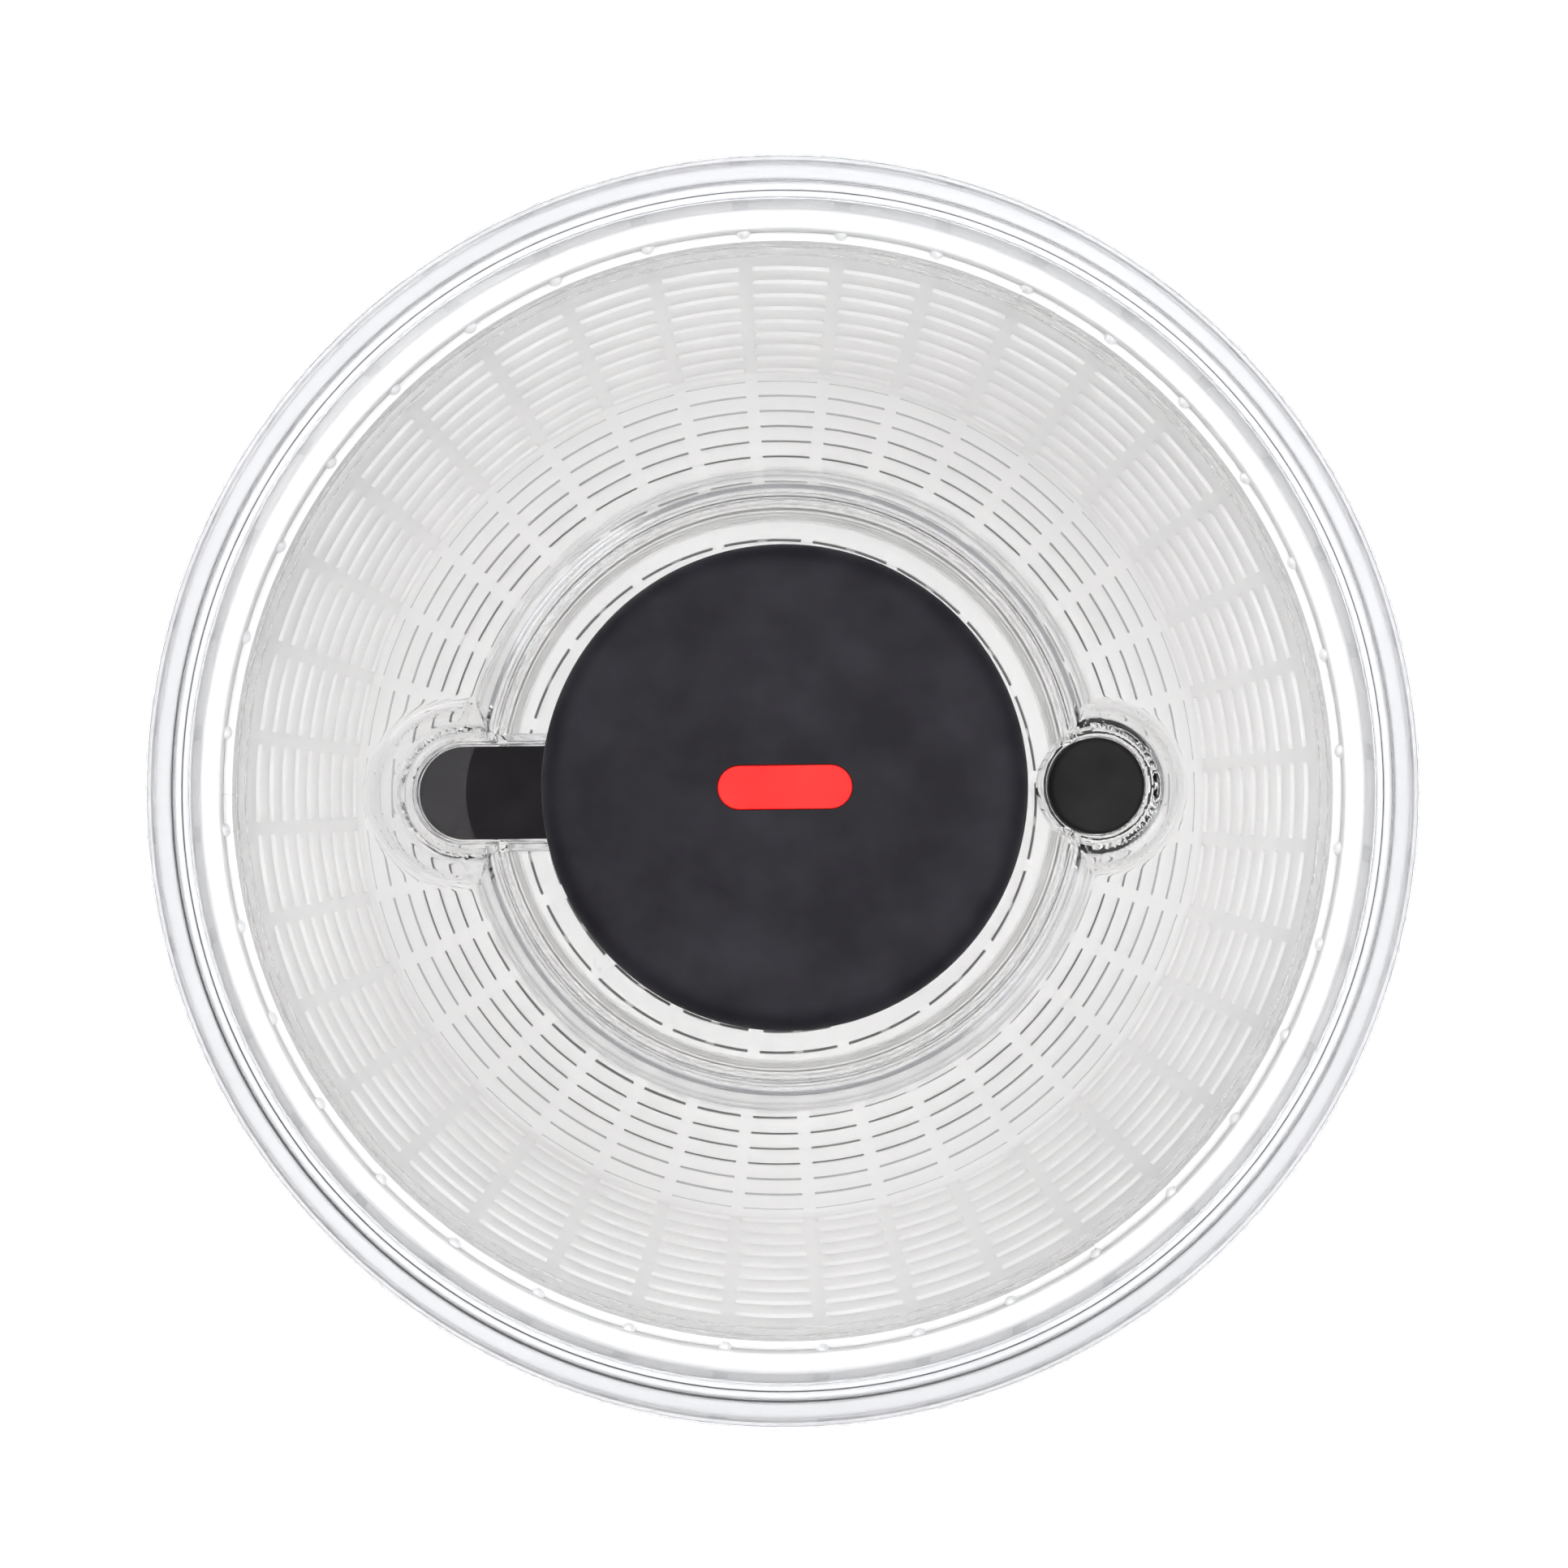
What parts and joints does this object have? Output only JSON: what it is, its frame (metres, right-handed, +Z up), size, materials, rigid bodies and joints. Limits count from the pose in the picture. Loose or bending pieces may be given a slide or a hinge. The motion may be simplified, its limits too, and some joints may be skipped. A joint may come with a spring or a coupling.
{
  "type": "salad spinner",
  "caption": "Clear salad spinner with a slotted basket under a domed lid; a push-down knob drives the basket through a twisted spindle, with a brake button and a knob lock.",
  "frame": {"origin": "centre of the bowl's base on the surface it stands on", "axes": "+Z up along the spin axis, +X towards the brake button, -X towards the lock lever"},
  "size_m": [0.2666, 0.2666, 0.2222],
  "materials": {
    "bowl_clear": "clear moulded acrylic, polished",
    "base_ring_soft": "translucent soft elastomer, matt",
    "basket_white": "translucent white polypropylene, satin",
    "lid_clear": "clear moulded plastic, polished",
    "disc_clear": "clear moulded plastic, polished",
    "hub_white": "white acetal, satin",
    "screw_steel": "stainless steel, bright",
    "washer_white": "white acetal, satin",
    "bearing_white": "white acetal, satin",
    "clip_steel": "spring steel, bright",
    "nut_acetal": "natural acetal, satin",
    "housing_white": "white plastic, satin",
    "spring_steel": "stainless spring wire",
    "grip_black": "black soft elastomer, fine matt grain",
    "core_white": "white plastic, satin",
    "badge_red": "red plastic inlay, plain",
    "spindle_steel": "twisted stainless bar",
    "button_black": "black soft elastomer over plastic",
    "pad_rubber": "soft rubber, matt",
    "lever_black": "black moulded plastic, polished"
  },
  "bodies": {
    "bowl": {"bowl": "bowl_clear", "bowl_base_ring": "base_ring_soft"},
    "lid": {"lid_cover": "lid_clear", "hub_bearing": "bearing_white", "mechanism_housing": "housing_white", "housing_screws": "screw_steel", "knob_guide_bush": "bearing_white"},
    "drive": {"drive_disc": "disc_clear", "drive_hub": "hub_white", "disc_screws": "screw_steel", "thrust_washer": "washer_white", "hub_retaining_ring": "clip_steel"},
    "basket": {"basket": "basket_white"},
    "nut": {"drive_nut": "nut_acetal", "nut_washer": "clip_steel"},
    "knob": {"knob_grip": "grip_black", "knob_core": "core_white", "knob_badge": "badge_red", "spiral_spindle": "spindle_steel", "spindle_screw": "screw_steel", "return_spring": "spring_steel"},
    "brake": {"brake_button": "button_black", "brake_clip": "clip_steel", "brake_pad": "pad_rubber", "brake_spring": "spring_steel"},
    "lock": {"lock_lever": "lever_black", "lock_clip": "clip_steel"}
  },
  "joints": [
    {"name": "lid_lift", "type": "slide", "parent": "bowl", "child": "lid", "axis": [0, 0, 1], "range_m": [0, 0.3]},
    {"name": "disc_spin", "type": "hinge", "parent": "lid", "child": "drive", "pos_m": [0, 0, 0.13], "axis": [0, 0, 1], "continuous": true},
    {"name": "basket_drop", "type": "slide", "parent": "drive", "child": "basket", "axis": [0, 0, 1], "range_m": [-0.1501, 0]},
    {"name": "knob_press", "type": "slide", "parent": "lid", "child": "knob", "axis": [0, 0, 1], "range_m": [-0.034, 0], "stiffness_N_per_m": 400, "springref_m": 0.015, "deforming": ["return_spring"]},
    {"name": "nut_spin", "type": "hinge", "parent": "lid", "child": "nut", "pos_m": [0, 0, 0.122], "axis": [0, 0, 1], "range_deg": [-5, 300]},
    {"name": "brake_press", "type": "slide", "parent": "lid", "child": "brake", "axis": [0, 0, 1], "range_m": [-0.0023, 0], "stiffness_N_per_m": 800, "springref_m": 0.002, "deforming": ["brake_spring"]},
    {"name": "lock_slide", "type": "slide", "parent": "lid", "child": "lock", "axis": [1, 0, 0], "range_m": [0, 0.006]}
  ],
  "couplings": [
    {"joint": "basket_drop", "follows": "lid_lift", "ratio": -0.5},
    {"joint": "nut_spin", "follows": "knob_press", "rad_per_m": -149.6}
  ]
}
